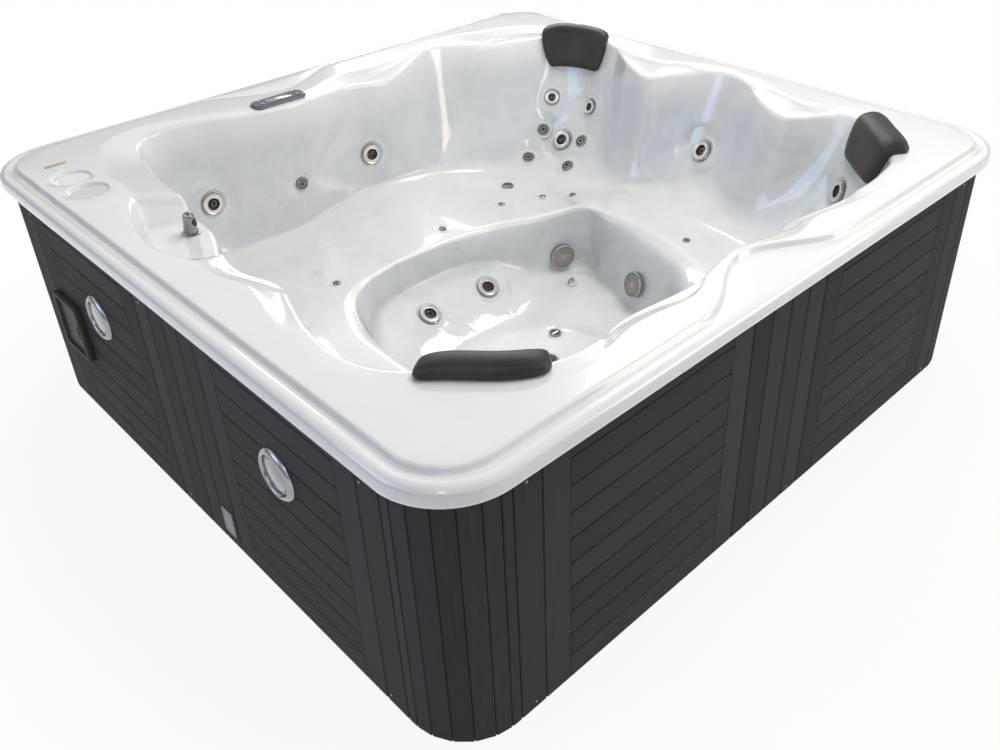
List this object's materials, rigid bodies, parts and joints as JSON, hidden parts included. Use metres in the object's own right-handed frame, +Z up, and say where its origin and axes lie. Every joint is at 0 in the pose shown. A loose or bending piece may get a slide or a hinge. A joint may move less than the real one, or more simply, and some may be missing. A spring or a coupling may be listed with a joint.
{
  "type": "hot tub",
  "caption": "Square family hot tub: moulded acrylic shell with seats, lounger, footwell and jets in a boarded cabinet, with hooked head pillows, lamps and controls.",
  "frame": {"origin": "centre of the footprint, on the ground the base tray stands on", "axes": "+Z up; +X along the rim's longer side; -Y is the face on the right of the picture and -X the face on its left, with the lamps and the hatch"},
  "size_m": [2.2, 2.1, 0.7906],
  "materials": {
    "blower_plastic": "black moulded blower case",
    "box_plastic": "grey moulded case",
    "cabinet_board": "anthracite wood-grain composite boards, matte",
    "control_bezel": "black bezel",
    "control_button": "grey soft-touch buttons",
    "control_window": "grey-blue display window",
    "drum_steel": "brushed stainless drum cover",
    "frame_timber": "treated softwood",
    "hatch_door_board": "board-coloured door",
    "hatch_plastic": "black moulded frame",
    "heater_steel": "stainless heater tube",
    "jet_steel": "polished stainless rim with a pale bowl and a dark nozzle",
    "lamp_chrome": "polished chrome ring",
    "lamp_lens": "clear moulded lens",
    "pillow_foam": "charcoal closed-cell foam cushion with a smooth skin",
    "pipe_plastic": "white rigid pipe; the fixed jet faces are steel capped",
    "plate_plastic": "plain grey plate",
    "plug_steel": "stainless plug and wire bail",
    "pump_paint": "dark blue painted castings",
    "shell_acrylic": "pearl white moulded acrylic with soft grey marbling",
    "spout_chrome": "polished chrome",
    "tray_plastic": "black moulded base tray",
    "trim_brass": "plain gold-coloured bar, bare"
  },
  "bodies": {
    "tub": {"air_blower": "blower_plastic", "air_manifold": "pipe_plastic", "base_tray": "tray_plastic", "circulation_pump": "pump_paint", "control_box": "box_plastic", "control_display": "control_window", "control_panel": "control_bezel", "corner_panel_back": "cabinet_board", "corner_panel_front": "cabinet_board", "corner_panel_left": "cabinet_board", "corner_panel_right": "cabinet_board", "drain_cover_plate": "plate_plastic", "hatch_frame": "hatch_plastic", "heater": "heater_steel", "lamp_lens_1": "lamp_lens", "lamp_lens_2": "lamp_lens", "lamp_ring_1": "lamp_chrome", "lamp_ring_2": "lamp_chrome", "massage_pump": "pump_paint", "middle_panel_back": "cabinet_board", "middle_panel_front": "cabinet_board", "middle_panel_left": "cabinet_board", "middle_panel_right": "cabinet_board", "side_panel_back_a": "cabinet_board", "side_panel_back_b": "cabinet_board", "side_panel_front_a": "cabinet_board", "side_panel_front_b": "cabinet_board", "side_panel_left_a": "cabinet_board", "side_panel_left_b": "cabinet_board", "side_panel_right_a": "cabinet_board", "side_panel_right_b": "cabinet_board", "spout": "spout_chrome", "suction_cover_1": "drum_steel", "suction_cover_2": "drum_steel", "suction_pipe": "pipe_plastic", "support_frame": "frame_timber", "trim_bar": "trim_brass", "tub_shell": "shell_acrylic", "water_manifold": "pipe_plastic"},
    "button_1": {"control_button_1": "control_button"},
    "button_2": {"control_button_2": "control_button"},
    "button_3": {"control_button_3": "control_button"},
    "button_4": {"control_button_4": "control_button"},
    "plug": {"drain_plug": "plug_steel"},
    "service_door": {"hatch_door": "hatch_door_board"},
    "jet_back_corner": {"jet_face_back_corner": "jet_steel"},
    "jet_back_middle": {"jet_face_back_middle": "jet_steel"},
    "jet_foot_1": {"jet_face_foot_1": "jet_steel"},
    "jet_foot_2": {"jet_face_foot_2": "jet_steel"},
    "jet_lounger": {"jet_face_lounger": "jet_steel"},
    "jet_right_corner": {"jet_face_right_corner": "jet_steel"},
    "jet_right_side": {"jet_face_right_side": "jet_steel"},
    "jet_shoulder_a": {"jet_face_shoulder_a": "jet_steel"},
    "jet_shoulder_b": {"jet_face_shoulder_b": "jet_steel"},
    "pillow_far": {"pillow_far": "pillow_foam"},
    "pillow_near": {"pillow_near": "pillow_foam"},
    "pillow_right": {"pillow_right": "pillow_foam"}
  },
  "joints": [
    {"name": "button_1_press", "type": "slide", "parent": "tub", "child": "button_1", "axis": [0, 0, -1], "range_m": [0, 0.0012], "stiffness_N_per_m": 250},
    {"name": "button_2_press", "type": "slide", "parent": "tub", "child": "button_2", "axis": [0, 0, -1], "range_m": [0, 0.0012], "stiffness_N_per_m": 250},
    {"name": "button_3_press", "type": "slide", "parent": "tub", "child": "button_3", "axis": [0, 0, -1], "range_m": [0, 0.0012], "stiffness_N_per_m": 250},
    {"name": "button_4_press", "type": "slide", "parent": "tub", "child": "button_4", "axis": [0, 0, -1], "range_m": [0, 0.0012], "stiffness_N_per_m": 250},
    {"name": "plug_lift", "type": "slide", "parent": "tub", "child": "plug", "axis": [0, 0, 1], "range_m": [0, 0.08]},
    {"name": "service_door_hinge", "type": "hinge", "parent": "tub", "child": "service_door", "pos_m": [-1.0845, 0.7452, 0.328], "axis": [0, 0, -1], "range_deg": [0, 90]},
    {"name": "jet_back_corner_turn", "type": "hinge", "parent": "tub", "child": "jet_back_corner", "pos_m": [-0.5281, 0.8126, 0.4824], "axis": [-0.0351, -0.9949, 0.0947], "range_deg": [0, 90]},
    {"name": "jet_back_middle_turn", "type": "hinge", "parent": "tub", "child": "jet_back_middle", "pos_m": [0.0766, 0.7698, 0.4779], "axis": [-0.1227, -0.9841, 0.1286], "range_deg": [0, 90]},
    {"name": "jet_foot_1_turn", "type": "hinge", "parent": "tub", "child": "jet_foot_1", "pos_m": [-0.1518, 0.1953, 0.1535], "axis": [0.0527, -0.4812, 0.875], "range_deg": [0, 90]},
    {"name": "jet_foot_2_turn", "type": "hinge", "parent": "tub", "child": "jet_foot_2", "pos_m": [0.0946, 0.1848, 0.153], "axis": [-0.0941, -0.5109, 0.8545], "range_deg": [0, 90]},
    {"name": "jet_lounger_turn", "type": "hinge", "parent": "tub", "child": "jet_lounger", "pos_m": [0.7664, 0.4834, 0.4009], "axis": [-0.7724, -0.1073, 0.6261], "range_deg": [0, 90]},
    {"name": "jet_right_corner_turn", "type": "hinge", "parent": "tub", "child": "jet_right_corner", "pos_m": [0.7971, -0.6795, 0.5549], "axis": [-0.712, 0.6198, 0.3299], "range_deg": [0, 90]},
    {"name": "jet_right_side_turn", "type": "hinge", "parent": "tub", "child": "jet_right_side", "pos_m": [0.8788, -0.097, 0.4923], "axis": [-0.7958, 0.2096, 0.5682], "range_deg": [0, 90]},
    {"name": "jet_shoulder_a_turn", "type": "hinge", "parent": "tub", "child": "jet_shoulder_a", "pos_m": [0.8117, 0.5814, 0.5368], "axis": [-0.7369, -0.4907, 0.465], "range_deg": [0, 90]},
    {"name": "jet_shoulder_b_turn", "type": "hinge", "parent": "tub", "child": "jet_shoulder_b", "pos_m": [0.857, 0.4225, 0.5262], "axis": [-0.8974, 0.1882, 0.399], "range_deg": [0, 90]},
    {"name": "pillow_far_lift", "type": "slide", "parent": "tub", "child": "pillow_far", "axis": [0, 0, 1], "range_m": [0, 0.25]},
    {"name": "pillow_near_lift", "type": "slide", "parent": "tub", "child": "pillow_near", "axis": [0, 0, 1], "range_m": [0, 0.25]},
    {"name": "pillow_right_lift", "type": "slide", "parent": "tub", "child": "pillow_right", "axis": [0, 0, 1], "range_m": [0, 0.25]}
  ]
}
